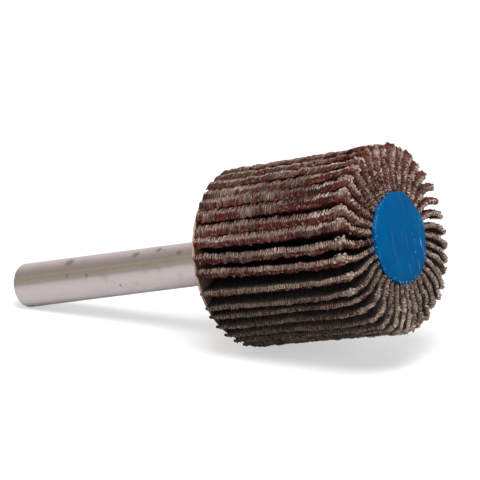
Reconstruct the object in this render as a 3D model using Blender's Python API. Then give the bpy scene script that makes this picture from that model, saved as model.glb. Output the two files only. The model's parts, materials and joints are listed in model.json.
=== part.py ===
# Flap wheel on its own shank: abrasive cloth flaps bonded round a cast resin hub.
#
# Lengths are in metres. Every piece is modelled along the wheel's axis, which is local X
# with the front face towards +X. The whole wheel hangs on one empty, which lays it down
# on the table: it rests on two flap tips of the back rim and on the end of its shank.
# Angles round the axis are counted from +Y towards +Z, anticlockwise seen from the front.

import math
import random

import bmesh
import bpy
from mathutils import Matrix, Vector

MM = 0.001

# Allowances when points are picked out by their place, and when doubles are merged
SLACK = 0.01 * MM
MERGE_DISTANCE = 0.001 * MM

# Gap that touching pieces keep
CLEARANCE = 0.3 * MM

# Shank: a turned steel pin, serrated where the resin grips it
SHANK_RADIUS = 3.0 * MM
SHANK_FREE_LENGTH = 36.35 * MM
SHANK_END_ROUNDING = 0.6 * MM
SERRATION_DEPTH = 0.2 * MM
SERRATION_MARGIN = 1.5 * MM
SHANK_SIDES = 48

# Fibre disc behind the flaps
DISC_THICKNESS = 0.45 * MM
DISC_SETBACK = 0.9 * MM
DISC_EDGE = 0.12 * MM
DISC_SIDES = 56

# Cast resin hub
HUB_RADIUS = 6.1 * MM
HUB_SEAT_DEPTH = 0.2 * MM
HUB_STANDOUT = 0.1 * MM
HUB_FRONT_WALL = 7.0 * MM
DOME_HEIGHT = 0.5 * MM
DOME_FLATNESS = 0.5
DOME_STEPS = 4

# Flaps of abrasive cloth
FLAP_COUNT = 38
WHEEL_RADIUS = 12.05 * MM
WHEEL_FLARE = 0.45 * MM
FLAP_WIDTH = 24.55 * MM
FLAP_FRONT_SLOPE = 0.45 * MM
FRAYED_THICKNESS = 0.95 * MM
HOOK_AT_FRONT = 0.2 * MM
HOOK_START = 0.5
CORNER_CURL = 0.7 * MM
CURL_START = 0.78
BEND_POWER = 1.6
REACH_SPREAD = 0.25 * MM
WAVE_HEIGHT = 0.12 * MM
CORNER_CELLS = 3
STEM_CELLS = 2
LENGTH_CELLS = 6
SEED = 11

# Front corners: rounded a little, and more on the side of the wheel that is worn most
FRONT_CORNER = 1.0 * MM
WORN_CORNER = 2.0 * MM
WORN_SIDE = math.radians(212)
WORN_POWER = 20
CORNER_SPREAD = 0.25 * MM
LARGEST_CORNER_SHARE = 0.8

# How far each flap's tip is bent round the wheel, at its back and at its front,
# as shares of the pitch between tips. The flaps are counted from the wheel's lowest line.
TIP_SHIFTS = [
    (-0.35, -0.24), (-0.40, -0.39), (-0.35, -0.24), (-0.18, -0.21), (-0.33, -0.11),
    (-0.28, -0.19), (-0.43, -0.26), (-0.50, -0.46), (-0.80, -0.56), (-0.68, -0.61),
    (-0.63, -0.49), (-0.55, -0.51), (-0.53, -0.39), (-0.50, -0.34), (-0.35, -0.31),
    (-0.25, -0.26), (-0.40, -0.24), (-0.25, -0.26), (-0.30, -0.31), (-0.53, -0.31),
    (-0.43, -0.34), (-0.43, -0.39), (-0.30, -0.41), (-0.50, -0.19), (-0.55, -0.16),
    (-0.38, -0.08), (-0.60, -0.16), (-0.45, 0.12), (-0.48, 0.29), (0.10, 0.49),
    (0.25, 0.62), (0.00, 0.34), (0.00, 0.27), (0.10, 0.42), (0.13, 0.39),
    (0.18, 0.42), (0.05, 0.27), (-0.18, 0.04),
]

# Places along the axis, from the outer face of the fibre disc
FLAP_BACK = DISC_THICKNESS + CLEARANCE
FLAP_FRONT = FLAP_BACK + FLAP_WIDTH
HUB_BACK = FLAP_BACK
HUB_RIM = FLAP_FRONT + FLAP_FRONT_SLOPE + HUB_STANDOUT
BORE_END = HUB_RIM - HUB_FRONT_WALL
SHANK_BACK = -SHANK_FREE_LENGTH
SHANK_FRONT = BORE_END - CLEARANCE

# Radii that follow from the fits
BORE_RADIUS = SHANK_RADIUS + CLEARANCE
ROOT_RADIUS = HUB_RADIUS - HUB_SEAT_DEPTH + CLEARANCE
DISC_RADIUS = WHEEL_RADIUS - DISC_SETBACK

# The roots stand side by side round the hub, the tips spread apart
PITCH_ANGLE = math.tau / FLAP_COUNT
TIP_PITCH = WHEEL_RADIUS * PITCH_ANGLE
LEANING_FACTOR = 1.25
ROOT_THICKNESS = ROOT_RADIUS * PITCH_ANGLE - CLEARANCE
TIP_THICKNESS = min(FRAYED_THICKNESS, (TIP_PITCH - CLEARANCE) / LEANING_FACTOR)
LEAST_TIP_PITCH = TIP_THICKNESS * LEANING_FACTOR + CLEARANCE

DOWN = -math.pi / 2


def make_material(name, color, roughness, metallic=0.0):
    material = bpy.data.materials.new(name)
    material.use_nodes = True
    shader = material.node_tree.nodes["Principled BSDF"]
    shader.inputs["Base Color"].default_value = (*color, 1.0)
    shader.inputs["Roughness"].default_value = roughness
    shader.inputs["Metallic"].default_value = metallic
    return material


def add_piece(name, bm, material, axis_frame, crease_angle=math.radians(35)):
    bmesh.ops.recalc_face_normals(bm, faces=bm.faces)
    mesh = bpy.data.meshes.new(name)
    bm.to_mesh(mesh)
    bm.free()
    mesh.shade_smooth()
    mesh.set_sharp_from_angle(angle=crease_angle)
    mesh.materials.append(material)
    piece = bpy.data.objects.new(name, mesh)
    piece.parent = axis_frame
    bpy.context.collection.objects.link(piece)
    return piece


def spin_profile(profile, sides, start_angle, closed=False):
    """Turn a profile of (x, radius) points once round the axis."""
    bm = bmesh.new()
    side = Vector((0.0, math.cos(start_angle), math.sin(start_angle)))
    points = [bm.verts.new(side * radius + Vector((x, 0.0, 0.0))) for x, radius in profile]
    pairs = list(zip(points, points[1:]))
    if closed:
        pairs.append((points[-1], points[0]))
    edges = [bm.edges.new(pair) for pair in pairs]
    bmesh.ops.spin(bm, geom=points + edges, cent=(0, 0, 0), axis=(1, 0, 0), dvec=(0, 0, 0),
                   angle=math.tau, steps=sides, use_merge=True, use_duplicate=False)
    bmesh.ops.remove_doubles(bm, verts=bm.verts, dist=MERGE_DISTANCE)
    return bm


def sink_alternate_sides(bm, sides, start_angle, depth, first_x, last_x, least_radius):
    """Push every second line of a turned skin inwards, which leaves teeth or seats."""
    step = math.tau / sides
    for vert in bm.verts:
        radius = math.hypot(vert.co.y, vert.co.z)
        if not first_x <= vert.co.x <= last_x or radius < least_radius:
            continue
        turn = (math.atan2(vert.co.z, vert.co.y) - start_angle) / step
        if round(turn) % 2 == 0:
            shrink = (radius - depth) / radius
            vert.co.y *= shrink
            vert.co.z *= shrink


def build_shank(material, axis_frame):
    rounding = SHANK_END_ROUNDING
    profile = [(SHANK_BACK, SHANK_RADIUS - rounding)]
    for step in (1, 2, 3):
        turn = step / 3 * math.pi / 2
        profile.append((SHANK_BACK + rounding * (1 - math.cos(turn)),
                        SHANK_RADIUS - rounding * (1 - math.sin(turn))))
    first_tooth = HUB_BACK + SERRATION_MARGIN
    last_tooth = SHANK_FRONT - SERRATION_MARGIN
    profile += [(first_tooth - SERRATION_DEPTH, SHANK_RADIUS),
                (first_tooth, SHANK_RADIUS),
                (last_tooth, SHANK_RADIUS),
                (SHANK_FRONT, SHANK_RADIUS - 2 * SERRATION_DEPTH)]
    start_angle = DOWN + math.pi / SHANK_SIDES
    bm = spin_profile(profile, SHANK_SIDES, start_angle)
    rims = [edge for edge in bm.edges if edge.is_boundary]
    bmesh.ops.holes_fill(bm, edges=rims)
    sink_alternate_sides(bm, SHANK_SIDES, start_angle, SERRATION_DEPTH,
                         first_tooth - SLACK, last_tooth + SLACK, least_radius=SHANK_RADIUS - SLACK)
    return add_piece("shank", bm, material, axis_frame)


def build_back_disc(material, axis_frame):
    profile = [(0.0, BORE_RADIUS),
               (0.0, DISC_RADIUS - DISC_EDGE),
               (DISC_EDGE, DISC_RADIUS),
               (DISC_THICKNESS - DISC_EDGE, DISC_RADIUS),
               (DISC_THICKNESS, DISC_RADIUS - DISC_EDGE),
               (DISC_THICKNESS, BORE_RADIUS)]
    bm = spin_profile(profile, DISC_SIDES, DOWN, closed=True)
    return add_piece("back_disc", bm, material, axis_frame)


def build_hub(material, axis_frame, first_seat_angle):
    """One casting: domed front, a seat for each flap root, and the shank's blind bore."""
    profile = [(BORE_END, 0.0),
               (BORE_END, BORE_RADIUS),
               (HUB_BACK, BORE_RADIUS),
               (HUB_BACK, HUB_RADIUS),
               (FLAP_FRONT, HUB_RADIUS),
               (HUB_RIM, HUB_RADIUS)]
    for step in range(1, DOME_STEPS + 1):
        turn = step / DOME_STEPS * math.pi / 2
        profile.append((HUB_RIM + DOME_HEIGHT * math.sin(turn),
                        HUB_RADIUS * max(math.cos(turn), 0.0) ** DOME_FLATNESS))
    profile[-1] = (HUB_RIM + DOME_HEIGHT, 0.0)
    sides = 2 * FLAP_COUNT
    bm = spin_profile(profile, sides, first_seat_angle)
    sink_alternate_sides(bm, sides, first_seat_angle, HUB_SEAT_DEPTH,
                         HUB_BACK - SLACK, FLAP_FRONT + SLACK, least_radius=HUB_RADIUS - SLACK)
    return add_piece("resin_hub", bm, material, axis_frame)


def tip_shifts(end):
    """Each tip's shift at one end of the wheel (0 back, 1 front), with the tips kept apart."""
    shifts = [TIP_SHIFTS[index % len(TIP_SHIFTS)][end] * TIP_PITCH for index in range(FLAP_COUNT)]
    for _ in range(60):
        for index in range(FLAP_COUNT):
            after = (index + 1) % FLAP_COUNT
            short = LEAST_TIP_PITCH - (TIP_PITCH + shifts[after] - shifts[index])
            if short > 0:
                shifts[index] -= short / 2
                shifts[after] += short / 2
    return shifts


def plan_flaps():
    """The flaps' own variations, and the angle of each root round the hub.

    The first and last flap straddle the lowest line of the wheel, which stands on them.
    """
    rng = random.Random(SEED)
    back_shifts = tip_shifts(0)
    front_shifts = tip_shifts(1)
    roll = (back_shifts[0] + back_shifts[-1]) / 2 / WHEEL_RADIUS
    largest_corner = LARGEST_CORNER_SHARE * (WHEEL_RADIUS - ROOT_RADIUS)
    flaps = []
    for index in range(FLAP_COUNT):
        angle = DOWN + (index + 0.5) * PITCH_ANGLE - roll
        worn = max(math.cos(angle - WORN_SIDE), 0.0) ** WORN_POWER
        corner = FRONT_CORNER + WORN_CORNER * worn + rng.uniform(-CORNER_SPREAD, CORNER_SPREAD)
        flaps.append({
            "name": f"flap_{index + 1:02d}",
            "angle": angle,
            "back_shift": back_shifts[index],
            "front_shift": front_shifts[index],
            "corner": min(corner, largest_corner),
            "reach": rng.uniform(-REACH_SPREAD, REACH_SPREAD),
            "wave_phase": rng.uniform(0, math.tau),
        })
    return flaps


def round_off(along, across):
    """Map the unit square on to a quarter disc, with its two inner sides left straight."""
    length = math.hypot(along, across)
    if length == 0:
        return 0.0, 0.0
    reach = max(along, across) / length
    return along * reach, across * reach


def flap_outline_point(flap, along, across):
    """Place (x, radius) on the flat flap; along runs 0 to 1 to the front, across to the tip.

    Values over 1 count on through the rounded front corner, up to 2.
    """
    corner = flap["corner"]
    straight = FLAP_WIDTH - corner
    x_round, r_round = round_off(max(along - 1, 0.0), max(across - 1, 0.0))
    x = FLAP_BACK + min(along, 1.0) * straight + x_round * corner
    share = (x - FLAP_BACK) / FLAP_WIDTH
    tip = WHEEL_RADIUS + (WHEEL_FLARE + flap["reach"]) * share
    stem = tip - corner - ROOT_RADIUS
    radius = ROOT_RADIUS + min(across, 1.0) * stem + r_round * corner
    inwards = 1 - (radius - ROOT_RADIUS) / (WHEEL_RADIUS - ROOT_RADIUS)
    x += FLAP_FRONT_SLOPE * inwards * share ** 4
    return x, radius


def flap_shift(flap, x, radius):
    """How far the bent flap has moved round the wheel at a place, as a length of arc."""
    share = (x - FLAP_BACK) / FLAP_WIDTH
    height = max((radius - ROOT_RADIUS) / (WHEEL_RADIUS - ROOT_RADIUS), 0.0)
    own = flap["back_shift"] * (1 - share) + flap["front_shift"] * share
    own += WAVE_HEIGHT * math.sin(2 * math.pi * share + flap["wave_phase"]) * share * (1 - share) * 4
    over_start = max(height - HOOK_START, 0.0) / (1 - HOOK_START)
    curl = CORNER_CURL * max(share - CURL_START, 0.0) / (1 - CURL_START)
    hook = (HOOK_AT_FRONT * share + curl) * over_start ** 2
    return own * height ** BEND_POWER - hook


def build_flap(flap, material, axis_frame):
    """A bent sheet of cloth, thinner at its glued root than at its frayed tip."""
    alongs = [step / LENGTH_CELLS for step in range(LENGTH_CELLS)]
    alongs += [1 + step / CORNER_CELLS for step in range(CORNER_CELLS + 1)]
    acrosses = [step / STEM_CELLS for step in range(STEM_CELLS)]
    acrosses += [1 + step / CORNER_CELLS for step in range(CORNER_CELLS + 1)]
    bm = bmesh.new()
    weights = []
    rows = []
    for along in alongs:
        row = []
        for across in acrosses:
            x, radius = flap_outline_point(flap, along, across)
            angle = flap["angle"] + flap_shift(flap, x, radius) / radius
            row.append(bm.verts.new((x, radius * math.cos(angle), radius * math.sin(angle))))
            height = (radius - ROOT_RADIUS) / (WHEEL_RADIUS - ROOT_RADIUS)
            thickness = ROOT_THICKNESS + (TIP_THICKNESS - ROOT_THICKNESS) * min(height, 1.0)
            weights.append(thickness / max(TIP_THICKNESS, ROOT_THICKNESS))
        rows.append(row)
    for row, next_row in zip(rows, rows[1:]):
        for a, b, c, d in zip(row, next_row, next_row[1:], row[1:]):
            bm.faces.new((a, b, c, d))
    piece = add_piece(flap["name"], bm, material, axis_frame)
    group = piece.vertex_groups.new(name="cloth")
    for index, weight in enumerate(weights):
        group.add([index], weight, "REPLACE")
    solidify = piece.modifiers.new("cloth thickness", "SOLIDIFY")
    solidify.thickness = max(TIP_THICKNESS, ROOT_THICKNESS)
    solidify.offset = 0.0
    solidify.vertex_group = group.name
    return piece


def evaluated_points(pieces):
    depsgraph = bpy.context.evaluated_depsgraph_get()
    points = []
    for piece in pieces:
        evaluated = piece.evaluated_get(depsgraph)
        mesh = evaluated.to_mesh()
        points += [vert.co.copy() for vert in mesh.vertices]
        evaluated.to_mesh_clear()
    return points


def lowest_after(points, turn):
    return min((turn @ point).z for point in points)


def lay_down(axis_frame, shank, wheel_pieces):
    """Tilt the axis until the shank's end and the back rim both stand on the table."""
    shank_points = evaluated_points([shank])
    wheel_points = evaluated_points(wheel_pieces)
    low, high = 0.0, math.radians(60)
    for _ in range(40):
        tilt = (low + high) / 2
        turn = Matrix.Rotation(-tilt, 3, "Y")
        if lowest_after(wheel_points, turn) < lowest_after(shank_points, turn):
            low = tilt
        else:
            high = tilt
    turn = Matrix.Rotation(-tilt, 3, "Y")
    placed = [turn @ point for point in shank_points + wheel_points]
    lowest = min(point.z for point in placed)
    middle = [(min(p[side] for p in placed) + max(p[side] for p in placed)) / 2 for side in (0, 1)]
    axis_frame.rotation_euler = (0.0, -tilt, 0.0)
    axis_frame.location = (-middle[0], -middle[1], -lowest)


def main():
    for old in list(bpy.data.objects):
        bpy.data.objects.remove(old, do_unlink=True)

    axis_frame = bpy.data.objects.new("wheel_axis", None)
    bpy.context.collection.objects.link(axis_frame)

    steel = make_material("plated steel", (0.45, 0.42, 0.42), 0.28, metallic=1.0)
    resin = make_material("blue cast resin", (0.002, 0.098, 0.266), 0.35)
    fibre = make_material("tan fibre board", (0.52, 0.37, 0.29), 0.8)
    cloth = make_material("abrasive cloth", (0.10, 0.07, 0.06), 0.95)

    flaps = plan_flaps()
    shank = build_shank(steel, axis_frame)
    disc = build_back_disc(fibre, axis_frame)
    hub = build_hub(resin, axis_frame, flaps[0]["angle"])
    wheel = [build_flap(flap, cloth, axis_frame) for flap in flaps]
    lay_down(axis_frame, shank, [disc, hub] + wheel)


main()
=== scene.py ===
import json
import math
import random

import bpy
import numpy as np
from mathutils import Matrix, Vector, noise


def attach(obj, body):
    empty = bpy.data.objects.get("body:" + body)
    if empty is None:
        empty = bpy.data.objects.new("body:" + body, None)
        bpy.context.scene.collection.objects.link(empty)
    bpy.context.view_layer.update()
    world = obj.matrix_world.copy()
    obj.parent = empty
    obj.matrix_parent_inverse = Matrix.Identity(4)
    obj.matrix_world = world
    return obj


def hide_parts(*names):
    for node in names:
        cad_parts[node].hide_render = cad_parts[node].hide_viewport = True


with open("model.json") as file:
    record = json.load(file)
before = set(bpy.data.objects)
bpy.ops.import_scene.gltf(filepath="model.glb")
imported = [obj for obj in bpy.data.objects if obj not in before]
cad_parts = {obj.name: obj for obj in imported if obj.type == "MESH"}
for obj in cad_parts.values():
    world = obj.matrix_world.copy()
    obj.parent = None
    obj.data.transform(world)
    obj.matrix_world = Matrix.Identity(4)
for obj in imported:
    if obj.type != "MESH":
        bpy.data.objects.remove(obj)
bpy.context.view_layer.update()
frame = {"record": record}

# The wheel is modelled in millimetres along its own axis: x = 0 is the outer face of the
# fibre disc and the blue front looks along +x. wheelPlace sets it down at true size.
# Sides of the wheel are given in degrees round that axis: 90 is up, and 180 is the left
# as the front is seen.
mm = 0.001
wheel = {
    "shankRadius": 3.0,
    "shankFree": 36.35,
    "shankEndRounding": 0.6,
    "discThickness": 0.45,
    "discRadius": 11.15,
    "gap": 0.3,
    "hubRadius": 6.1,
    "seatDepth": 0.2,
    "hubFrontWall": 7.0,
    "domeHeight": 0.5,
    "wheelRadius": 12.05,
    "flapWidth": 24.55,
    "frontSlope": 0.45,
    "hubStandout": 0.1,
}
flapWidth = wheel["flapWidth"]
flapBack = wheel["discThickness"] + wheel["gap"]
flapFront = flapBack + flapWidth
hubRim = flapFront + wheel["frontSlope"] + wheel["hubStandout"]
boreEnd = hubRim - wheel["hubFrontWall"]
boreRadius = wheel["shankRadius"] + wheel["gap"]
rootRadius = wheel["hubRadius"] - wheel["seatDepth"] + wheel["gap"]

shankEnd = next(mount for mount in frame["record"]["mounts"] if mount["name"] == "shank_end")
tilt = math.asin(-shankEnd["axis"][2])
shankVector = Vector(shankEnd["axis"]) * wheel["shankFree"] * mm
wheelOrigin = Vector(shankEnd["pos_m"]) - shankVector
wheelTurn = Matrix.Rotation(-tilt, 4, "Y")
wheelPlace = Matrix.Translation(wheelOrigin) @ wheelTurn @ Matrix.Scale(mm, 4)
print("frame loaded, the axis rises by", round(math.degrees(tilt), 2), "degrees")


def linearColour(hexText):
    # sRGB hex to the linear values that the shader sockets take
    channels = [int(hexText[i:i + 2], 16) / 255 for i in (1, 3, 5)]
    linear = [c / 12.92 if c <= 0.04045 else ((c + 0.055) / 1.055) ** 2.4 for c in channels]
    return (*linear, 1.0)


def setInputs(owner, node, inputs):
    # an input takes a node, for its first enabled output, an output, a hex colour or a value
    for name, value in inputs.items():
        if isinstance(value, bpy.types.Node):
            value = next(output for output in value.outputs if output.enabled)
        if isinstance(value, bpy.types.NodeSocket):
            owner.node_tree.links.new(value, node.inputs[name])
        elif isinstance(value, str):
            node.inputs[name].default_value = linearColour(value)
        else:
            node.inputs[name].default_value = value


def addNode(owner, kind, inputs=None, stops=None, **settings):
    # stops are a colour ramp's positions and colours, settings are the node's own properties
    node = owner.node_tree.nodes.new("ShaderNode" + kind)
    for name, value in settings.items():
        setattr(node, name, value)
    setInputs(owner, node, inputs or {})
    if stops:
        elements = node.color_ramp.elements
        while len(elements) < len(stops):
            elements.new(0.5)
        for element, (position, colour) in zip(elements, stops):
            element.position = position
            element.color = linearColour(colour)
    return node


def newMaterial(name):
    material = bpy.data.materials.new(name)
    material.use_nodes = True
    return material


def finishSurface(material, colour, roughness, specular, relief=None, invert=False, more=None):
    # relief is what drives the bump, its strength and its depth in mm
    inputs = {"Base Color": colour, "Roughness": roughness, "Specular IOR Level": specular}
    if relief:
        height, strength, depth = relief
        inputs["Normal"] = addNode(material, "Bump", {
            "Height": height, "Strength": strength, "Distance": depth * mm}, invert=invert)
    shader = material.node_tree.nodes["Principled BSDF"]
    setInputs(material, shader, {**inputs, **(more or {})})
    return material


def mixRamps(material, factor, *ramps):
    # two colour ramps, each with what drives it, mixed by a factor
    first, second = [addNode(material, "ValToRGB", {"Fac": value}, stops) for value, stops in ramps]
    return addNode(material, "Mix", {"Factor": factor, 6: first, 7: second}, data_type="RGBA")


def wheelCoordinates(material):
    # object coordinates in mm, turned and centred so that x runs along the wheel's axis
    place = addNode(material, "TexCoord")
    return addNode(material, "Mapping", {
        "Vector": place.outputs["Object"],
        "Location": wheelOrigin,
        "Rotation": (0.0, -tilt, 0.0),
        "Scale": (mm, mm, mm)}, vector_type="TEXTURE")


steelSpec = {
    "paintedReflectionBands": [  # painted reflections: bright below for the floor, a dark khaki band above the middle for the horizon; from the underside (0) to the top (1) of the bar
        (0.00, "#f0e8e7"), (0.08, "#efe6e5"), (0.14, "#e0d7d6"), (0.20, "#d5cccb"),
        (0.37, "#d9cfce"), (0.45, "#d7cdcc"), (0.52, "#ccc2c0"), (0.555, "#c0b4b1"),
        (0.585, "#a99c97"), (0.61, "#9c918b"), (0.65, "#998e83"), (0.70, "#8f8273"),
        (0.745, "#96887b"), (0.79, "#8b7e75"), (0.84, "#8e837d"), (0.89, "#998d89"),
        (0.94, "#aea09f"), (1.00, "#c3b4b3")],
    # x in mm along the axis, side in degrees and radius in mm of each dull smudge
    "smudges": [(-26.9, 118, 1.00), (-15.7, 123, 0.80), (-11.9, 116, 0.65), (-10.9, 120, 0.40),
                (-8.2, 135, 0.60), (-26.9, 161, 0.35), (-23.6, 165, 0.35), (-18.4, 204, 0.30)],
}


def makePlatedSteel():
    # zinc plated bright drawn bar, turned at the end: satin, with painted reflection bands along it by
    # height, smudged
    material = newMaterial("zincPlatedSteel")
    radius = wheel["shankRadius"]
    place = wheelCoordinates(material)
    split = addNode(material, "SeparateXYZ", {"Vector": place})
    height = addNode(material, "MapRange", {
        "Value": split.outputs["Z"], "From Min": -radius, "From Max": radius})
    drift = addNode(material, "TexNoise", {"Vector": place, "Scale": 0.17, "Detail": 2.0})
    wobble = addNode(material, "Math", {0: drift, 1: 0.05, 2: height}, operation="MULTIPLY_ADD")
    centred = addNode(material, "Math", {0: wobble, 1: 0.025}, operation="SUBTRACT")
    # painted reflection: the base colour is banded by height on the bar
    tone = addNode(material, "ValToRGB", {"Fac": centred}, steelSpec["paintedReflectionBands"])
    cloud = addNode(material, "TexNoise", {
        "Vector": place, "Scale": 0.42, "Detail": 3.0, "Roughness": 0.6})
    dull = addNode(material, "MapRange", {
        "Value": cloud, "From Min": 0.55, "From Max": 0.95, "To Max": 0.5})
    for along, side, size in steelSpec["smudges"]:
        turn = math.radians(side)
        spot = (along, radius * math.cos(turn), radius * math.sin(turn))
        away = addNode(material, "VectorMath", {0: place, 1: spot}, operation="DISTANCE")
        blurred = addNode(material, "Math", {
            0: cloud, 1: -1.2 * size, 2: away}, operation="MULTIPLY_ADD")
        smudge = addNode(material, "MapRange", {
            "Value": blurred, "From Min": 0.5 * size, "From Max": -0.5 * size,
            "To Max": 0.85}, interpolation_type="SMOOTHSTEP")
        dull = addNode(material, "Math", {0: dull, 1: smudge}, operation="MAXIMUM")
    mixed = addNode(material, "Mix", {"Factor": dull, 6: tone, 7: "#6f6562"}, data_type="RGBA")
    turningPlace = addNode(material, "Mapping", {"Vector": place, "Scale": (4.0, 0.2, 0.2)})
    turning = addNode(material, "TexNoise", {"Vector": turningPlace, "Scale": 1.0, "Detail": 2.0})
    roughness = addNode(material, "MapRange", {"Value": turning, "To Min": 0.30, "To Max": 0.44})
    sunk = addNode(material, "Math", {0: dull, 1: -1.5, 2: turning}, operation="MULTIPLY_ADD")
    return finishSurface(material, mixed, roughness, 0.5, (sunk, 0.25, 0.02),
                         more={"Metallic": 1.0})


def makeCastResin():
    # poured epoxy, pigmented blue: even, dulled by handling, with a few fine pale scratches
    material = newMaterial("castBlueEpoxy")
    place = wheelCoordinates(material)
    cloud = addNode(material, "TexNoise", {"Vector": place, "Scale": 0.35, "Detail": 4.0})
    tone = addNode(material, "ValToRGB", {"Fac": cloud}, [(0.3, "#004270"), (0.7, "#004a7a")])
    scratchPlace = addNode(material, "Mapping", {
        "Vector": place, "Scale": (0.4, 2.4, 0.33), "Rotation": (0.25, 0.0, 0.0)})
    scratches = addNode(material, "TexNoise", {
        "Vector": scratchPlace, "Scale": 1.0, "Detail": 2.0})
    scratchMask = addNode(material, "MapRange", {
        "Value": scratches, "From Min": 0.60, "From Max": 0.72})
    specks = addNode(material, "TexVoronoi", {"Vector": place, "Scale": 0.9})
    speckMask = addNode(material, "MapRange", {
        "Value": specks, "From Min": 0.16, "From Max": 0.05})
    marks = addNode(material, "Math", {0: scratchMask, 1: speckMask}, operation="MAXIMUM")
    # the marks are clearest at the lower right of the front
    split = addNode(material, "SeparateXYZ", {"Vector": place})
    right = addNode(material, "MapRange", {
        "Value": split.outputs["Y"], "From Min": 1.0, "From Max": 4.5, "To Min": 0.08})
    low = addNode(material, "MapRange", {
        "Value": split.outputs["Z"], "From Min": 3.0, "From Max": -2.0, "To Min": 0.2})
    rubbed = addNode(material, "Math", {0: right, 1: low}, operation="MULTIPLY")
    faint = addNode(material, "Math", {0: marks, 1: rubbed}, operation="MULTIPLY")
    scratched = addNode(material, "Mix", {
        "Factor": faint, 6: tone, 7: "#7ba3b8"}, data_type="RGBA")
    # painted shade: the resin goes near black behind the front, between the flaps, and lightens out
    # over the rim
    paintedGapShade = addNode(material, "MapRange", {
        "Value": split.outputs["X"], "From Min": flapFront + 0.4, "From Max": flapFront - 0.9})
    mixed = addNode(material, "Mix", {
        "Factor": paintedGapShade, 6: scratched, 7: "#0c0a0a"}, data_type="RGBA")
    return finishSurface(material, mixed, 0.5, 0.02, (cloud, 0.2, 0.05))


def makePressedFibre():
    # vulcanised fibre board, punched: matt tan with faint mottling
    material = newMaterial("pressedFibre")
    place = wheelCoordinates(material)
    mottle = addNode(material, "TexNoise", {
        "Vector": place, "Scale": 1.1, "Detail": 5.0, "Roughness": 0.65})
    tone = addNode(material, "ValToRGB", {"Fac": mottle}, [
        (0.25, "#9a7e6c"), (0.5, "#bfa391"), (0.8, "#cdb4a4")])
    # the face towards the flaps is caked with grinding dust near the rim, and painted shade darkens it
    # to black away from the rim
    split = addNode(material, "SeparateXYZ", {"Vector": place})
    inside = wheel["discThickness"]
    dust = addNode(material, "MapRange", {
        "Value": split.outputs["X"],
        "From Min": inside - 0.15, "From Max": inside - 0.02, "To Max": 0.9})
    caked = addNode(material, "ValToRGB", {"Fac": mottle}, [
        (0.3, "#251a14"), (0.5, "#443327"), (0.75, "#6a5344")])
    flat = addNode(material, "VectorMath", {0: place, 1: (0.0, 1.0, 1.0)}, operation="MULTIPLY")
    fromAxis = addNode(material, "VectorMath", {0: flat}, operation="LENGTH")
    nearRim = addNode(material, "MapRange", {
        "Value": fromAxis, "From Min": 8.8, "From Max": 11.2})
    # painted shade: darker inwards from the rim, in the gap between the disc and the flaps
    paintedShadeInward = addNode(material, "Mix", {"Factor": nearRim, 6: "#0d0907", 7: caked}, data_type="RGBA")
    dusty = addNode(material, "Mix", {"Factor": dust, 6: tone, 7: paintedShadeInward}, data_type="RGBA")
    # painted shade: the rim is darker where it lies low
    low = addNode(material, "MapRange", {
        "Value": split.outputs["Z"], "From Min": -2.5, "From Max": -6.0})
    rim = addNode(material, "MapRange", {"Value": fromAxis, "From Min": 10.6, "From Max": 11.0})
    paintedShadeLowRim = addNode(material, "Math", {0: low, 1: rim}, operation="MULTIPLY")
    mixed = addNode(material, "Mix", {
        "Factor": paintedShadeLowRim, 6: dusty, 7: "#3b2d27"}, data_type="RGBA")
    return finishSurface(material, mixed, 0.85, 0.2, (mottle, 0.4, 0.05))


# The materials of the flaps read flapPlace (mm along the flap, mm out from its root, wear from
# 0 to 1) and yarn (tone and redness, from 0 to 1), which are attributes of its mesh.
def makeClothBacking():
    # resin filled cotton twill: dull charcoal, ribbed by its yarns, worn pale at its edges
    material = newMaterial("clothBacking")
    place = addNode(material, "Attribute", attribute_name="flapPlace").outputs["Vector"]
    split = addNode(material, "SeparateXYZ", {"Vector": place})
    ribs = addNode(material, "TexWave", {
        "Vector": place, "Scale": 0.85, "Distortion": 5.0, "Detail": 2.0,
        "Detail Scale": 2.0}, bands_direction="X")
    streakPlace = addNode(material, "Mapping", {"Vector": place, "Scale": (3.2, 0.7, 0.0)})
    fuzz = addNode(material, "TexNoise", {
        "Vector": streakPlace, "Scale": 1.0, "Detail": 5.0, "Roughness": 0.75})
    weave = addNode(material, "Math", {
        0: ribs.outputs["Fac"], 1: 0.15, 2: fuzz}, operation="MULTIPLY_ADD")
    mixed = mixRamps(
        material, split.outputs["Z"],
        (weave, [(0.42, "#141110"), (0.62, "#292523"), (0.90, "#514a46")]),
        (weave, [(0.42, "#2c2320"), (0.62, "#5f524c"), (0.85, "#94877f")]))
    return finishSurface(material, mixed, 0.95, 0.1, (weave, 0.8, 0.1))


def makeGritCoat():
    # brown aluminium oxide grit, 0.25 mm, sunk in dark size: near black, maroon where it is worn
    material = newMaterial("aluminiumOxideGrit")
    place = addNode(material, "Attribute", attribute_name="flapPlace").outputs["Vector"]
    split = addNode(material, "SeparateXYZ", {"Vector": place})
    grains = addNode(material, "TexVoronoi", {"Vector": place, "Scale": 4.0})
    tint = addNode(material, "SeparateColor", {"Color": grains.outputs["Color"]})
    clumps = addNode(material, "TexNoise", {
        "Vector": place, "Scale": 1.6, "Detail": 3.0, "Roughness": 0.6})
    clumped = addNode(material, "Math", {0: tint, 1: 0.35, 2: clumps}, operation="MULTIPLY_ADD")
    mixed = mixRamps(
        material, split.outputs["Z"],
        (clumped, [(0.45, "#070404"), (0.70, "#150b0a"), (0.90, "#2b1413"), (1.0, "#42201e")]),
        (clumped, [(0.42, "#1e0b0a"), (0.60, "#511d1a"), (0.76, "#76322c"), (0.92, "#8d5047"),
                   (1.0, "#b19a8c")]))
    return finishSurface(material, mixed, 0.6, 0.25, (grains, 0.9, 0.12), invert=True)


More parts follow.
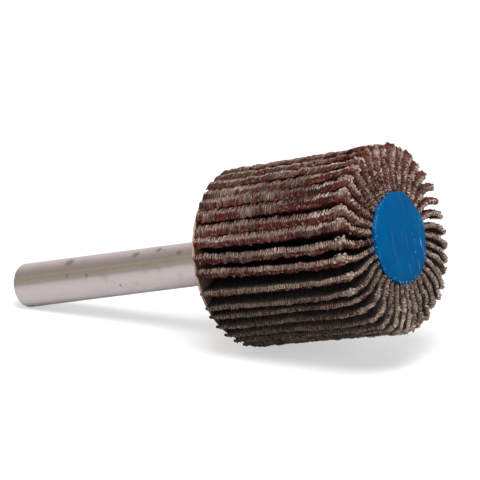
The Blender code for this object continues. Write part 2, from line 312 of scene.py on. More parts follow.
def makeCutEdge():
    # sheared edge of the cloth: yarn ends side by side as pale and dark streaks, red with grit
    material = newMaterial("shearedClothEdge")
    place = addNode(material, "Attribute", attribute_name="flapPlace").outputs["Vector"]
    yarn = addNode(material, "Attribute", attribute_name="yarn").outputs["Vector"]
    split = addNode(material, "SeparateXYZ", {"Vector": yarn})
    streaks = addNode(material, "TexNoise", {
        "Vector": place, "Scale": 4.5, "Detail": 4.0, "Roughness": 0.7})
    streaked = addNode(material, "Math", {0: streaks, 1: split.outputs["X"]}, operation="ADD")
    mixed = mixRamps(
        material, split.outputs["Y"],
        (streaked, [(0.28, "#1d1714"), (0.46, "#4a3e37"), (0.62, "#74655b"), (0.80, "#9a8a7e")]),
        (streaks, [(0.35, "#1b0908"), (0.55, "#4b1a18"), (0.75, "#732f2b")]))
    return finishSurface(material, mixed, 1.0, 0.05, (streaks, 0.8, 0.1))


def makeFrayedYarn():
    # teased out cotton fibres and crumbs of coating: dusty taupe to cream, maroon where gritty
    material = newMaterial("frayedYarn")
    yarn = addNode(material, "Attribute", attribute_name="yarn").outputs["Vector"]
    split = addNode(material, "SeparateXYZ", {"Vector": yarn})
    tone = split.outputs["X"]
    mixed = mixRamps(
        material, split.outputs["Y"],
        (tone, [(0.0, "#241c18"), (0.35, "#66564d"), (0.65, "#928175"), (1.0, "#c8b9ac")]),
        (tone, [(0.0, "#1a0807"), (0.4, "#561e1c"), (1.0, "#8d4a43")]))
    return finishSurface(material, mixed, 1.0, 0.05)


def makeSoakedLint():
    # lint soaked in thin epoxy at the rim of the hub: pale fibres gone blue
    return finishSurface(newMaterial("resinSoakedLint"), "#5f88a6", 0.7, 0.2)


finishes = {
    "steel": makePlatedSteel(),
    "resin": makeCastResin(),
    "fibre": makePressedFibre(),
    "cloth": makeClothBacking(),
    "grit": makeGritCoat(),
    "cutEdge": makeCutEdge(),
    "yarn": makeFrayedYarn(),
    "soakedLint": makeSoakedLint(),
}
print("materials made:", len(finishes))


def deselectAll():
    if bpy.context.object and bpy.context.object.mode != "OBJECT":
        bpy.ops.object.mode_set(mode="OBJECT")
    bpy.ops.object.select_all(action="DESELECT")


def pickOnly(obj):
    deselectAll()
    obj.select_set(True)
    bpy.context.view_layer.objects.active = obj


def linkObject(name, data):
    obj = bpy.data.objects.new(name, data)
    bpy.context.collection.objects.link(obj)
    return obj


def joinTo(obj, extras):
    pickOnly(obj)
    for extra in extras:
        extra.select_set(True)
    bpy.ops.object.join()


def selectWhere(obj, kind, test):
    # leaves edit mode on, with only the vertices or faces that pass the test selected
    bpy.ops.object.mode_set(mode="EDIT")
    bpy.ops.mesh.select_mode(type=kind)
    bpy.ops.mesh.select_all(action="DESELECT")
    bpy.ops.object.mode_set(mode="OBJECT")
    for part in obj.data.vertices if kind == "VERT" else obj.data.polygons:
        part.select = test(part)
    bpy.ops.object.mode_set(mode="EDIT")


def cutAcross(x):
    bpy.ops.mesh.select_all(action="SELECT")
    bpy.ops.mesh.bisect(plane_co=(x, 0, 0), plane_no=(1, 0, 0))


def turnNormalsOut(obj):
    pickOnly(obj)
    bpy.ops.object.mode_set(mode="EDIT")
    bpy.ops.mesh.select_all(action="SELECT")
    bpy.ops.mesh.normals_make_consistent(inside=False)
    bpy.ops.object.mode_set(mode="OBJECT")


def addBar(name, radius, start, end, sides):
    # a cylinder primitive along x between two places
    deselectAll()
    bpy.ops.mesh.primitive_cylinder_add(
        vertices=sides, radius=radius, depth=end - start,
        location=((start + end) / 2, 0, 0), rotation=(0, math.pi / 2, 0))
    bar = bpy.context.object
    bar.name = name
    bpy.ops.object.transform_apply(location=True, rotation=True, scale=True)
    return bar


def radiusOf(point):
    return math.hypot(point.y, point.z)


def setDown(obj, node, smoothAngle=35):
    # true size and place, smooth shading, and the frame's book-keeping
    pickOnly(obj)
    obj.matrix_world = wheelPlace
    bpy.ops.object.transform_apply(location=True, rotation=True, scale=True)
    bpy.ops.object.shade_smooth_by_angle(angle=math.radians(smoothAngle))
    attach(obj, "root")
    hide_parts(node)


shankSpec = {
    "sides": 96,
    "endBevelSteps": 6,
    "serrationDepth": 0.2,
    "serrationMargin": 1.5,
    "serrationEnd": 0.2,     # mm over which a tooth runs out
    "linesPerTooth": 4,
}


def makeShank():
    radius = wheel["shankRadius"]
    start = -wheel["shankFree"]
    end = boreEnd - wheel["gap"]
    shank = addBar("shankPin", radius, start, end, shankSpec["sides"])
    selectWhere(shank, "VERT", lambda vert: vert.co.x < start + 0.01)
    bpy.ops.mesh.bevel(offset=wheel["shankEndRounding"], segments=shankSpec["endBevelSteps"],
                       profile=0.5, clamp_overlap=False)
    firstTooth = flapBack + shankSpec["serrationMargin"]
    lastTooth = end - shankSpec["serrationMargin"]
    runOut = shankSpec["serrationEnd"]
    for cut in (firstTooth - runOut, firstTooth, lastTooth, lastTooth + runOut):
        cutAcross(cut)
    step = math.tau / shankSpec["sides"]

    def isGroove(vert):
        x, y, z = vert.co
        line = round(math.atan2(z, y) / step) % shankSpec["linesPerTooth"]
        return line == 0 and min(abs(x - firstTooth), abs(x - lastTooth)) < 0.01

    selectWhere(shank, "VERT", isGroove)
    narrow = (radius - shankSpec["serrationDepth"]) / radius
    bpy.ops.transform.resize(value=(1, narrow, narrow), center_override=(firstTooth, 0, 0),
                             orient_type="GLOBAL", constraint_axis=(False, True, True))
    turnNormalsOut(shank)
    shank.data.materials.append(finishes["steel"])
    setDown(shank, "shank")


discSpec = {
    "sides": 144,
    "edgeBevel": 0.12,
    "rimWear": 0.06,
    "wornWidth": 0.3,
}


def makeDisc():
    radius = wheel["discRadius"]
    disc = addBar("fibreDisc", radius, 0.0, wheel["discThickness"], discSpec["sides"])
    selectWhere(disc, "FACE", lambda face: abs(face.normal.x) > 0.9)
    bpy.ops.mesh.inset(thickness=radius - boreRadius, use_individual=False)
    bpy.ops.mesh.bridge_edge_loops()
    selectWhere(disc, "VERT", lambda vert: radiusOf(vert.co) > radius - 0.01)
    bpy.ops.mesh.bevel(offset=discSpec["edgeBevel"], segments=2)
    bpy.ops.object.mode_set(mode="OBJECT")
    for vert in disc.data.vertices:
        if radiusOf(vert.co) > radius - discSpec["wornWidth"]:
            wear = discSpec["rimWear"] * (noise.noise(vert.co * 1.7) - 1)
            vert.co.yz = vert.co.yz * (1 + wear / radius)
    turnNormalsOut(disc)
    disc.data.materials.append(finishes["fibre"])
    setDown(disc, "back_disc")


# sizes in mm, sides in degrees
flapSpec = {
    "count": 38,
    "flare": 0.45,
    "frayedThickness": 0.95,
    "frontCorner": 1.0,
    "wornCorner": 2.0,
    "wornSide": 212,
    "wornPower": 20,
    "cornerSpread": 0.25,
    "hookAtFront": 0.2,
    "hookStart": 0.5,
    "cornerCurl": 0.7,
    "curlStart": 0.78,
    "bendPower": 1.6,
    "reachSpread": 0.25,
    "waveHeight": 0.12,
    "leaningFactor": 1.25,
    "seed": 11,
    "columns": 160,
    "rows": 8,
    "layers": 4,
    "rowPacking": 1.8,       # draws the rows together towards the tip
    "yarnPitch": 0.37,
    "edgeRag": 0.17,
    "cornerRag": 0.28,
    "cornerRagStart": 20.0,
    "edgeSway": 0.16,
    "thicknessSpread": 0.22,
    "yarnGroove": 0.14,
    "edgeRounding": 0.30,
    "edgeSink": 0.07,
    "bareShare": 0.94,       # share of the thickness under the relief of the faces
    "frontTaper": 0.30,      # share of the thickness lost on the grit side of the front edge
    "frontTaperLength": 0.9,
    "backTaper": 0.35,
    "backTaperLength": 0.8,
    "backPoint": 0.32,       # by which the frayed back corner of a tip sticks out
    "flushSide": 168,        # where it ends within the disc instead
    "rimOverhang": 0.50,     # by which it sticks out further, over the disc's rim
    "overhangSide": 211,
    "upperSide": 120,        # the flaps that look up and towards the light
    "gritClump": 0.16,
    "upperGritClump": 0.30,
    "gritBulk": 0.64,        # clogged grit that stands off the upper flaps near their edges
    "gritRelief": 0.06,
    "clothRelief": 0.04,
    "gritWear": 1.1,         # from the cut edge over which the grit face is worn red
    "clothWear": 0.5,
    "tipGritStart": 0.80,    # share of the thickness from which the coating shows on the edge
    "frontGritStart": 0.92,
    "leftGrit": 0.11,        # the wheel's left side shows more of it
    "leftSide": 178,
    "gritPatch": 0.44,
    "slimming": 0.43,        # share of the thickness that the lower left edges have lost
    "slimSide": 232,
    "frayPale": 0.34,
    "fluffSide": 50,
    "frontPale": 0.09,
    "paleSide": 330,
    "dustShare": 0.20,
    # tone taken off by the painted shade patch, and the side it is on
    "paintedShadePatch": 0.20,
    "paintedShadeSide": 144,
    # each tip's sideways bend at the back and the front, in shares of the pitch between tips
    "tipShifts": [
        (-0.35, -0.24), (-0.40, -0.39), (-0.35, -0.24), (-0.18, -0.21), (-0.33, -0.11),
        (-0.28, -0.19), (-0.43, -0.26), (-0.50, -0.46), (-0.80, -0.56), (-0.68, -0.61),
        (-0.63, -0.49), (-0.55, -0.51), (-0.53, -0.39), (-0.50, -0.34), (-0.35, -0.31),
        (-0.25, -0.26), (-0.40, -0.24), (-0.25, -0.26), (-0.30, -0.31), (-0.53, -0.31),
        (-0.43, -0.34), (-0.43, -0.39), (-0.30, -0.41), (-0.50, -0.19), (-0.55, -0.16),
        (-0.38, -0.08), (-0.60, -0.16), (-0.45, 0.12), (-0.48, 0.29), (0.10, 0.49),
        (0.25, 0.62), (0.00, 0.34), (0.00, 0.27), (0.10, 0.42), (0.13, 0.39),
        (0.18, 0.42), (0.05, 0.27), (-0.18, 0.04)],
}
pitchAngle = math.tau / flapSpec["count"]
tipPitch = wheel["wheelRadius"] * pitchAngle
rootThickness = rootRadius * pitchAngle - wheel["gap"]
flapHeight = wheel["wheelRadius"] - rootRadius


def facing(angle, side):
    # 1 for a flap that stands on the given side of the wheel, 0 from a quarter turn away
    return max(math.cos(angle - math.radians(side)), 0.0)


def tipShifts(end):
    # tips that would come too close are moved apart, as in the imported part
    count = flapSpec["count"]
    leastPitch = flapSpec["frayedThickness"] * flapSpec["leaningFactor"] + wheel["gap"]
    shifts = [pair[end] * tipPitch for pair in flapSpec["tipShifts"]]
    for _ in range(60):
        for index in range(count):
            after = (index + 1) % count
            short = leastPitch - (tipPitch + shifts[after] - shifts[index])
            if short > 0:
                shifts[index] -= short / 2
                shifts[after] += short / 2
    return shifts


def planFlaps():
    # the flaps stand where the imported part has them, so the draws come in its order
    rng = random.Random(flapSpec["seed"])
    cornerSpread, reachSpread = flapSpec["cornerSpread"], flapSpec["reachSpread"]
    backShifts, frontShifts = tipShifts(0), tipShifts(1)
    roll = (backShifts[0] + backShifts[-1]) / 2 / wheel["wheelRadius"]
    flaps = []
    for index in range(flapSpec["count"]):
        angle = -math.pi / 2 + (index + 0.5) * pitchAngle - roll
        worn = facing(angle, flapSpec["wornSide"]) ** flapSpec["wornPower"]
        flaps.append({
            "number": index + 1,
            "angle": angle,
            "backShift": backShifts[index],
            "frontShift": frontShifts[index],
            "corner": (flapSpec["frontCorner"] + flapSpec["wornCorner"] * worn
                       + rng.uniform(-cornerSpread, cornerSpread)),
            "reach": rng.uniform(-reachSpread, reachSpread),
            "wavePhase": rng.uniform(0, math.tau),
            "upper": facing(angle, flapSpec["upperSide"]),
        })
    return flaps


flaps = planFlaps()
print("flaps planned:", len(flaps))


def triples(*values):
    return np.stack(np.broadcast_arrays(*values), axis=-1)


def rise(value, start, end):
    # 0 up to the start, 1 from the end on; falls where the end is the lower of the two
    return np.clip((value - start) / (end - start), 0, 1)


def flapMiddle(flap, along, across):
    # middle surface of the bent flap; along and across run 0 to 1, as arrays
    corner = flap["corner"]
    tip = wheel["wheelRadius"] + (flapSpec["flare"] + flap["reach"]) * np.clip(along, 0, 1)
    fullHeight = tip - rootRadius
    mmAlong = along * flapWidth
    mmAcross = across * fullHeight
    intoCorner = np.clip((mmAlong - (flapWidth - corner)) / corner, 0, None)
    overCorner = np.clip((mmAcross - (fullHeight - corner)) / corner, 0, None)
    length = np.maximum(np.hypot(intoCorner, overCorner), 1e-9)
    reach = np.maximum(intoCorner, overCorner) / length
    x = flapBack + np.minimum(mmAlong, flapWidth - corner) + intoCorner * reach * corner
    fromRoot = np.minimum(mmAcross, fullHeight - corner) + overCorner * reach * corner
    radius = rootRadius + fromRoot
    x = x + wheel["frontSlope"] * (1 - fromRoot / flapHeight) * ((x - flapBack) / flapWidth) ** 4
    share = (x - flapBack) / flapWidth
    height = np.clip(fromRoot / flapHeight, 0, None)
    own = flap["backShift"] * (1 - share) + flap["frontShift"] * share
    wave = np.sin(math.tau * share + flap["wavePhase"])
    own = own + flapSpec["waveHeight"] * wave * share * (1 - share) * 4
    hookStart, curlStart = flapSpec["hookStart"], flapSpec["curlStart"]
    overStart = np.clip(height - hookStart, 0, None) / (1 - hookStart)
    curl = flapSpec["cornerCurl"] * np.clip(share - curlStart, 0, None) / (1 - curlStart)
    hook = (flapSpec["hookAtFront"] * share + curl) * overStart ** 2
    angle = flap["angle"] + (own * height ** flapSpec["bendPower"] - hook) / radius
    return triples(x, radius * np.cos(angle), radius * np.sin(angle)), height


def unitRows(vectors):
    return vectors / np.maximum(np.linalg.norm(vectors, axis=-1, keepdims=True), 1e-9)


def flapFrameAt(flap, along, across):
    # place, height share, and the directions along the flap, out from its root and off the grit
    delta = 0.004
    here, height = flapMiddle(flap, along, across)
    forward = unitRows(flapMiddle(flap, along + delta, across)[0]
                       - flapMiddle(flap, along - delta, across)[0])
    outward = unitRows(flapMiddle(flap, along, across + delta)[0]
                       - flapMiddle(flap, along, across - delta)[0])
    return here, height, forward, outward, unitRows(np.cross(forward, outward))


def flapThickness(flap, height):
    slim = flapSpec["slimming"] * facing(flap["angle"], flapSpec["slimSide"])
    full = flapSpec["frayedThickness"] * (1 - slim)
    return rootThickness + (full - rootThickness) * np.clip(height, 0, 1)


def noiseAt(points, scale, seed):
    # smooth noise of an array of points, about -1 to 1; each use has its own seed
    offset = Vector((seed * 17.3, seed * 5.1, seed * 9.7))
    return np.array([noise.noise(Vector(p) * scale + offset) for p in points])


def flapNoise(flap, along, mmAcross, scale, seed, numberStep):
    # noise over the flat cloth, with the flap's number as the third coordinate
    place = triples(along * flapWidth, mmAcross, flap["number"] * numberStep)
    return noiseAt(place, scale, seed)


def raggedness(along):
    start = flapSpec["cornerRagStart"]
    more = flapSpec["cornerRag"] - flapSpec["edgeRag"]
    return flapSpec["edgeRag"] + more * rise(along * flapWidth, start, start + 4)


def edgeFall(flap, along, across, depth):
    # mm that the cut edge lies under its ideal line: rounded over to both faces, and ragged
    gritSide = np.where(depth > 0.5, 1.4, 1.0)
    rounding = flapSpec["edgeRounding"] * np.abs(2 * depth - 1) ** 2.5 * gritSide
    mmAcross = across * flapHeight
    ragged = (flapNoise(flap, along, mmAcross, 0.9, 400, 1.7)
              + 0.5 * flapNoise(flap, along, mmAcross, 2.4, 430, 1.7))
    return rounding + flapSpec["edgeSink"] - raggedness(along) * ragged


def throughFlap(flap, depth, along, height):
    # mm off the middle surface at a share of the thickness, 0 on the cloth and 1 on the grit
    mmAlong = along * flapWidth
    taper = 1 - flapSpec["frontTaper"] * rise(flapWidth - mmAlong, flapSpec["frontTaperLength"], 0)
    backTaper = 1 - flapSpec["backTaper"] * rise(mmAlong, flapSpec["backTaperLength"], 0)
    swell = np.clip(height, 0, 1) ** 3
    sway = flapSpec["edgeSway"] * flapNoise(flap, along, height * 4.0, 0.75, 460, 2.3) * swell
    spread = flapNoise(flap, along, height * 4.0, 0.55, 490, 2.3) * swell
    thickness = flapThickness(flap, height) * backTaper * (1 + flapSpec["thicknessSpread"] * spread)
    return (depth * taper - 0.5) * thickness + sway


def cornerPaleness(flap, along, across):
    # the front corner is teased out into pale fluff, most on the upper flaps, and the front
    # edges at the lower right are pale all along
    away = np.hypot((along - 1) * flapWidth + 0.7, (across - 1) * flapHeight + 0.1)
    frayed = 0.75 + 0.25 * math.cos(flap["angle"] - math.radians(flapSpec["fluffSide"]))
    pale = flapSpec["frontPale"] * facing(flap["angle"], flapSpec["paleSide"])
    return (flapSpec["frayPale"] * frayed * np.exp(-(away / 1.2) ** 2)
            + pale * rise(along, 0.975, 1.0))


def paintedShadePatch(flap, along):
    # 0 to 1: a painted shade patch on the upper left, darker and with more red coating showing, from
    #         the middle to near the front
    side = facing(flap["angle"], flapSpec["paintedShadeSide"]) ** 12
    return side * np.exp(-((along * flapWidth - 20.0) / 4.5) ** 2)


def edgeDirtAndShade(flap, along, across, here, fluff, dust):
    # what fluff, the painted shade patch and dust add to or take off the tone of the cut edges
    return (fluff * cornerPaleness(flap, along, across)
            - flapSpec["paintedShadePatch"] * paintedShadePatch(flap, along)
            + dust * flapSpec["dustShare"] * noiseAt(here, 0.3, 500))


def gritShare(flap, along, across, depth):
    # how much of the maroon coating shows on the cut edge, in soft patches 2 to 4 mm long
    mmAcross = across * flapHeight
    patch = (flapNoise(flap, along, mmAcross, 0.4, 200, 3.1)
             + 0.8 * flapNoise(flap, along, mmAcross, 1.9, 230, 3.1))
    onFront = rise(along, 0.975, 0.995)
    left = facing(flap["angle"], flapSpec["leftSide"]) ** 2
    start = flapSpec["tipGritStart"] + 0.02 * flap["upper"] - flapSpec["leftGrit"] * left
    upperLeft = 0.5 + 0.5 * math.cos(flap["angle"] - math.radians(130))
    start = start + (flapSpec["frontGritStart"] - 0.27 * upperLeft - start) * onFront
    # more of the red coating shows under the painted shade patch
    start = start - 0.10 * paintedShadePatch(flap, along)
    share = rise(depth + flapSpec["gritPatch"] * patch, start - 0.11, start + 0.11)
    return share * (0.9 - 0.15 * onFront)


def addVectorAttribute(mesh, name, *values):
    attribute = mesh.attributes.new(name, "FLOAT_VECTOR", "POINT")
    attribute.data.foreach_set("vector", triples(*values).astype(np.float32).ravel())


def makeFlapBlank():
    # a flat strip of cloth: a grid, raised in layers so that its cut edge can be shaped
    deselectAll()
    bpy.ops.mesh.primitive_grid_add(
        x_subdivisions=flapSpec["columns"], y_subdivisions=flapSpec["rows"], size=1)
    blank = bpy.context.object
    blank.name = "flapBlank"
    bpy.ops.object.mode_set(mode="EDIT")
    bpy.ops.mesh.select_all(action="SELECT")
    for _ in range(flapSpec["layers"]):
        bpy.ops.mesh.extrude_region_move(
            TRANSFORM_OT_translate={"value": (0, 0, 1 / flapSpec["layers"])})
    turnNormalsOut(blank)
    for name in ("cloth", "grit", "cutEdge"):
        blank.data.materials.append(finishes[name])
    for face in blank.data.polygons:
        heights = [blank.data.vertices[v].co.z for v in face.vertices]
        face.material_index = 0 if max(heights) < 0.01 else 1 if min(heights) > 0.99 else 2
    return blank


def bendFlap(blank, flap):
    flapObject = linkObject(f"clothFlap{flap['number']:02d}", blank.data.copy())
    mesh = flapObject.data
    flat = np.empty(len(mesh.vertices) * 3)
    mesh.vertices.foreach_get("co", flat)
    flat = flat.reshape(-1, 3)
    along = flat[:, 0] + 0.5
    across = 1 - (0.5 - flat[:, 1]) ** flapSpec["rowPacking"]
    depth = flat[:, 2]
    here, height, forward, outward, normal = flapFrameAt(flap, along, across)
    mmAlong = along * flapWidth
    mmAcross = across * flapHeight
    flatPlace = triples(mmAlong, mmAcross, depth * 1.2)
    seed, pitch = flap["number"], flapSpec["yarnPitch"]

    # the sheared edges: rounded over, grooved between yarns, ragged, and most at the front corner
    slowNoise = noiseAt(flatPlace, 0.45, seed + 50)
    ragNoise = noiseAt(flatPlace, 2.3, seed)
    yarnWave = np.abs(np.sin(math.pi * mmAlong / pitch))
    weftWave = np.abs(np.sin(math.pi * (mmAcross / pitch + 0.8 * slowNoise + 0.3 * depth)))
    nearTip = rise(across, 0.90, 1.0)
    ownRag = 0.5 * raggedness(along) * ragNoise - edgeFall(flap, along, across, depth)
    tipPush = nearTip * (ownRag - flapSpec["yarnGroove"] * (1 - yarnWave))
    frontPush = rise(along, 0.985, 1.0) * (ownRag - flapSpec["yarnGroove"] * (1 - weftWave))
    flush = facing(flap["angle"], flapSpec["flushSide"]) ** 2
    overRim = facing(flap["angle"], flapSpec["overhangSide"]) ** 6
    backPoint = flapSpec["backPoint"] * (1 - 1.6 * flush) + flapSpec["rimOverhang"] * overRim
    backPush = rise(along, 0.01, 0.0) * (flapSpec["edgeRag"] * ragNoise - backPoint * nearTip)

    # relief of the faces: grit grains and clumps on one, yarn ribs on the other
    clumpNoise = np.clip(noiseAt(flatPlace, 1.9, seed + 130) * 2, -0.6, 1)
    ribs = np.cos(math.tau * mmAlong / pitch)
    nearEdge = np.maximum(rise(across, 0.85, 1.0), rise(along, 0.97, 1.0))
    clump = flapSpec["gritClump"]
    clump = clump + (flapSpec["upperGritClump"] - clump) * flap["upper"]
    bulk = flapSpec["gritBulk"] * flap["upper"] * np.clip(height, 0, 1) ** 2
    clogged = np.maximum(rise(across, 0.74, 0.88), nearEdge)
    relief = rise(depth, 0.55, 1.0) * (
        flapSpec["gritRelief"] * noiseAt(flatPlace, 3.7, seed + 90) + clogged * bulk
        + nearEdge * clump * clumpNoise)
    relief = relief - (rise(depth, 0.45, 0.0) * flapSpec["clothRelief"]
                       * (0.4 * ribs + 2.0 * ragNoise))
    off = throughFlap(flap, depth, along, height) * flapSpec["bareShare"] + relief
    points = here + normal * off[:, None]
    points = points + outward * tipPush[:, None] + forward * (frontPush + backPush)[:, None]
    mesh.vertices.foreach_set("co", points.astype(np.float32).ravel())

    fromEdge = np.minimum((1 - across) * flapHeight, (1 - along) * flapWidth)
    clothWear, gritWear = flapSpec["clothWear"], flapSpec["gritWear"]
    wearDepth = (clothWear + (gritWear - clothWear) * depth) * (1 + 0.5 * slowNoise)
    addVectorAttribute(mesh, "flapPlace", mmAlong, mmAcross, np.exp(-(fromEdge / wearDepth) ** 1.5))
    edgeWave = np.where(along > 0.999, weftWave, yarnWave)
    tone = (0.10 * slowNoise + 0.22 * (edgeWave - 0.7)
            + edgeDirtAndShade(flap, along, across, here, 0.7, 1.0))
    addVectorAttribute(mesh, "yarn", tone, gritShare(flap, along, across, depth), 0.0)
    mesh.update()
    return flapObject


# lengths in mm
fraySpec = {
    "seed": 29,
    "combPerYarn": 4,        # fibres laid over the cut edge towards the cloth side
    "combRadius": 0.050,
    "combTaper": (0.9, 1.05, 0.95, 0.4),
    "combDepths": (0.92, 0.60, 0.22, 0.0),
    # tone along each fibre: darker towards the grit side, with a painted highlight at the cloth-side
    # end, which catches the light
    "combShading": (-0.20, -0.07, 0.04, 0.18),
    "combTone": 0.36,
    # painted light: fibres on the flaps that look up towards the light are made lighter
    "paintedLightUpperTone": 0.14,
    "upperOverhang": 0.30,   # by which the fibres reach past the cloth face
    "lowerOverhang": 0.05,
    "combEndRise": 0.16,
    "crumbsPerYarn": 3,      # crumbs of coating that hang on the grit side of the edge
    "frontCrumbs": 34,
    "crumbRadius": 0.15,
    "lintSide": 150,
    "lintFibres": 60,
    "lintRadius": 0.040,
    "lintBall": 0.34,
    "lintCore": 0.22,        # share of the fibres that are matted together inside the ball
}


def stringUp(name, points, radii, tone, redness):
    # many short lines as one curve object with a small round section, turned into a mesh
    curve = bpy.data.curves.new(name, "CURVE")
    curve.dimensions = "3D"
    curve.bevel_depth = 1.0
    curve.bevel_resolution = 0
    curve.use_fill_caps = True
    strands, count = points.shape[:2]
    for strand in range(strands):
        spline = curve.splines.new("POLY")
        spline.points.add(count - 1)
        spline.points.foreach_set("co", np.append(points[strand], np.ones((count, 1)), axis=1).ravel())
        spline.points.foreach_set("radius", radii[strand])
    pickOnly(linkObject(name, curve))
    bpy.ops.object.convert(target="MESH")
    strung = bpy.context.object
    mesh = strung.data
    perStrand = len(mesh.vertices) // strands
    number = np.arange(len(mesh.vertices))
    owner = number // perStrand
    step = np.minimum(number % perStrand * count // perStrand, count - 1)
    tone, redness = [np.broadcast_to(values.reshape(strands, -1), (strands, count))[owner, step]
                     for values in (tone, redness)]
    addVectorAttribute(mesh, "yarn", tone, redness, 0.0)
    mesh.materials.clear()
    mesh.materials.append(finishes["yarn"])
    return strung


def growComb(flap, rng):
    # each yarn end is teased into a few fibres, laid across the cut edge like the teeth of a comb
    pitch = flapSpec["yarnPitch"]
    tips, fronts = int(flapWidth / pitch), int(flapHeight / pitch)
    yarn = np.repeat(np.arange(tips + fronts), fraySpec["combPerYarn"])
    total = len(yarn)
    onTip = yarn < tips

    def either(tipValue, frontValue):
        return np.where(onTip, tipValue, frontValue)

    jitter = either(0.36, 0.55) * rng.uniform(-1, 1, total)
    yarnPlace = (either(yarn, yarn - tips) + 0.5 + jitter) * pitch
    along, across = either(yarnPlace / flapWidth, 1.0), either(1.0, yarnPlace / flapHeight)
    here, height, forward, outward, normal = flapFrameAt(flap, along, across)
    away = np.where(onTip[:, None], outward, forward)
    aside = np.where(onTip[:, None], forward, outward)
    groups = noiseAt(triples(yarnPlace, onTip * 9.0, flap["number"] * 2.7), 0.5, 300)
    lean = 0.30 * groups + either(0.16, 0.45) * rng.normal(0, 1, total)
    least = fraySpec["lowerOverhang"]
    overhang = least + flap["upper"] * (fraySpec["upperOverhang"] - least)
    overhang = overhang * rng.uniform(0.2, 1.3, total)
    lift = either(rng.uniform(-0.04, 0.06, total), rng.uniform(-0.08, 0.10, total))
    # a few fibres are brighter than the rest, and more of them on the front edge
    spread = either(0.03, 0.10) * rng.normal(0, 1, tips + fronts)[yarn]
    spread = spread + either(0.035, 0.05) * rng.normal(0, 1, total)
    bright = rng.random(total) < either(0.04, 0.12)
    # painted light: lighter fibres on the upper flaps, which face the light
    yarnTone = (fraySpec["combTone"] + fraySpec["paintedLightUpperTone"] * flap["upper"]
                + either(0.0, 0.06) + 0.12 * groups + spread + either(0.10, 0.18) * bright
                + edgeDirtAndShade(flap, along, across, here, 1.0, 1.3))
    points, tone, redness = [], [], []
    for number, share in enumerate(fraySpec["combDepths"]):
        last = number == len(fraySpec["combDepths"]) - 1
        depth = np.full(total, share)
        over = throughFlap(flap, depth, along, height) - overhang * last
        rising = lift - edgeFall(flap, along, across, depth) + last * fraySpec["combEndRise"]
        sideways = lean * (0.5 - depth) * flapThickness(flap, height)
        points.append(here + normal * over[:, None] + away * rising[:, None]
                      + aside * sideways[:, None])
        # painted highlight and shade along the fibre, stronger on the front edges
        tone.append(yarnTone + fraySpec["combShading"][number] * either(1.0, 1.3))
        redness.append(0.85 * gritShare(flap, along, across, depth))
    radii = fraySpec["combRadius"] * rng.uniform(0.6, 1.4, (total, 1))
    return stringUp("comb", np.stack(points, axis=1), radii * np.array(fraySpec["combTaper"]),
                    np.stack(tone, axis=1), np.stack(redness, axis=1))


def hangCrumbs(flap, rng):
    # crumbs of grit and coating along the grit side of the cut edges
    tips = int(flapWidth / flapSpec["yarnPitch"]) * fraySpec["crumbsPerYarn"]
    fronts = fraySpec["frontCrumbs"]
    total = tips + fronts
    along = np.append(rng.uniform(0.022, 1.0, tips), rng.uniform(0.965, 1.0, fronts))
    across = np.append(1 - rng.uniform(0.0, 1.0, tips) ** 1.6 * 0.14, rng.uniform(0.05, 1.0, fronts))
    depth = rng.uniform(0.86, 1.08 + 0.60 * flap["upper"] * across ** 2, total)
    here, height, forward, outward, normal = flapFrameAt(flap, along, across)
    base = here + normal * throughFlap(flap, depth, along, height)[:, None]
    fall = edgeFall(flap, along, across, np.clip(depth, 0, 1))
    base = base - outward * (rise(across, 0.95, 1.0) * fall)[:, None]
    shown = gritShare(flap, along, across, np.full(total, 0.62))
    size = (fraySpec["crumbRadius"] * rng.uniform(0.5, 1.2, total) * (0.6 + 0.5 * shown)
            * (1 + 0.3 * flap["upper"]))[:, None]
    half = unitRows(rng.normal(0, 1, (total, 3))) * size * 1.1
    tone = rng.uniform(0.10, 0.65, total)
    redness = np.clip(rng.normal(0.62, 0.3, total), 0, 1)
    return stringUp("crumbs", np.stack([base - half, base, base + half], axis=1),
                    size * np.array([0.5, 1.0, 0.45]), tone, redness)


def tuftLint(flap, rng, spot, height, size):
    # a ball of pale lint caught on the edge, spot mm from the front and at a share of the height
    fibres = int(fraySpec["lintFibres"] * size)
    spread = fraySpec["lintBall"] * size
    fromFront = spot + rng.normal(0, 1.3 * spread, fibres)
    along = np.clip(1 - fromFront / flapWidth, 0, 1)
    across = np.clip(height + rng.normal(0, spread / flapHeight, fibres) * (height < 1), 0, 1)
    here, _, forward, outward, normal = flapFrameAt(flap, along, across)
    base = (here + outward * (np.clip(rng.normal(-0.2, 0.4, (fibres, 1)), -1, 0.6) * spread)
            + normal * (np.clip(rng.normal(-0.5, 0.7, (fibres, 1)), -1.6, 0.8) * spread))
    turns = [unitRows(rng.normal(0, 1, (fibres, 3)))]
    for _ in range(2):
        turns.append(unitRows(turns[-1] + rng.normal(0, 1.3, (fibres, 3))))
    length = rng.uniform(0.06, 0.13, (fibres, 1))
    points = [base - turns[0] * length]
    for turn in turns:
        points.append(points[-1] + turn * length)
    core = np.arange(fibres) < fibres * fraySpec["lintCore"]
    radii = np.where(core, 4.0 * size, 1.0) * fraySpec["lintRadius"]
    radii = (radii * rng.uniform(0.7, 1.4, fibres))[:, None] * np.array([0.6, 1.0, 1.0, 0.5])
    tone = rng.uniform(0.42, 0.80, fibres) - 0.08 * core
    return stringUp("lint", np.stack(points, axis=1), radii, tone, np.zeros(fibres))


